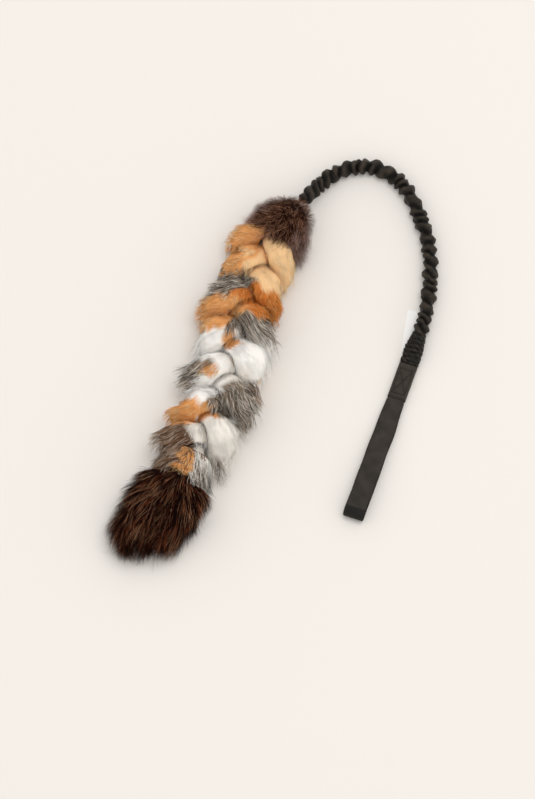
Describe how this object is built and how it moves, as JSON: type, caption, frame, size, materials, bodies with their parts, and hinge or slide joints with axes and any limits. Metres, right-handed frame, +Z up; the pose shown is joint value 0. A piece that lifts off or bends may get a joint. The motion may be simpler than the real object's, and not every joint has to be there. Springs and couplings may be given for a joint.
{
  "type": "fur braid tug toy",
  "caption": "Braid of mixed fur strips with a dark collar and tail, on a gathered bungee sleeve that ends in a flat webbing hand loop; lies flat.",
  "frame": {"origin": "bottom centre of the box round the toy without its bungee sleeve and elastic, on the table it lies on", "axes": "+Y along the braid towards its collar and along the handle, +X from the braid towards the handle, +Z up from the table"},
  "size_m": [0.2288, 0.4701, 0.0427],
  "materials": {
    "fur_tan": "short curly tan fur, hair side out",
    "fur_rust": "short rust-orange fur, darker where it parts",
    "fur_white": "soft white fur",
    "fur_grey": "black and grey flecked fur",
    "fur_brown": "brown-grey fur with pale tips",
    "fur_cream": "smooth short cream fur, lying flat",
    "fur_silver": "long silver fur with dark guard hairs",
    "fur_dark_brown": "long dark brown fur with reddish tips",
    "core_cord": "undyed braided cord",
    "binding_thread": "waxed dark thread, closely wound",
    "sleeve_fabric": "black woven tubular fabric with a slight sheen",
    "elastic": "covered elastic cord",
    "webbing": "black flat webbing, fine ribbed weave",
    "label_fabric": "blank white woven label"
  },
  "bodies": {
    "braid": {"strand_a_1_tan": "fur_tan", "strand_a_2_rust": "fur_rust", "strand_a_3_white": "fur_white", "strand_a_4_grey": "fur_grey", "strand_a_5_brown": "fur_brown", "strand_b_1_tan": "fur_tan", "strand_b_2_grey": "fur_grey", "strand_b_3_white": "fur_white", "strand_b_4_grey": "fur_grey", "strand_b_5_white": "fur_white", "strand_c_1_cream": "fur_cream", "strand_c_2_tan": "fur_tan", "strand_c_3_cream": "fur_cream", "strand_c_4_tan": "fur_tan", "strand_c_5_silver": "fur_silver", "core_cord_a": "core_cord", "core_cord_b": "core_cord", "core_cord_c": "core_cord", "collar": "fur_dark_brown", "collar_binding": "binding_thread", "sleeve_anchor": "sleeve_fabric", "tail_binding": "binding_thread"},
    "bungee": {"bungee_sleeve": "sleeve_fabric", "elastic_cord": "elastic"},
    "cuff": {"sleeve_cuff": "sleeve_fabric", "label": "label_fabric"},
    "handle": {"handle_tab": "sleeve_fabric", "handle_strap": "webbing"},
    "tail": {"tail_knot": "core_cord", "tail_left": "fur_dark_brown", "tail_right": "fur_dark_brown", "tail_under": "fur_dark_brown"}
  },
  "joints": [
    {"name": "bungee_swing", "type": "hinge", "parent": "braid", "child": "bungee", "pos_m": [-0.0471, 0.2018, 0.0215], "axis": [0, 0, 1], "range_deg": [-12, 90]},
    {"name": "bungee_stretch", "type": "slide", "parent": "bungee", "child": "cuff", "axis": [0, -1, 0], "range_m": [0, 0.12], "stiffness_N_per_m": 300, "deforming": ["bungee_sleeve", "elastic_cord"]},
    {"name": "handle_fold", "type": "hinge", "parent": "cuff", "child": "handle", "pos_m": [0.1044, 0.0819, 0.00675], "axis": [-1, 0, 0], "range_deg": [0, 120]},
    {"name": "tail_swing", "type": "hinge", "parent": "braid", "child": "tail", "pos_m": [-0.0665, -0.11396, 0.0215], "axis": [0, 0, 1], "range_deg": [-15, 15]}
  ]
}
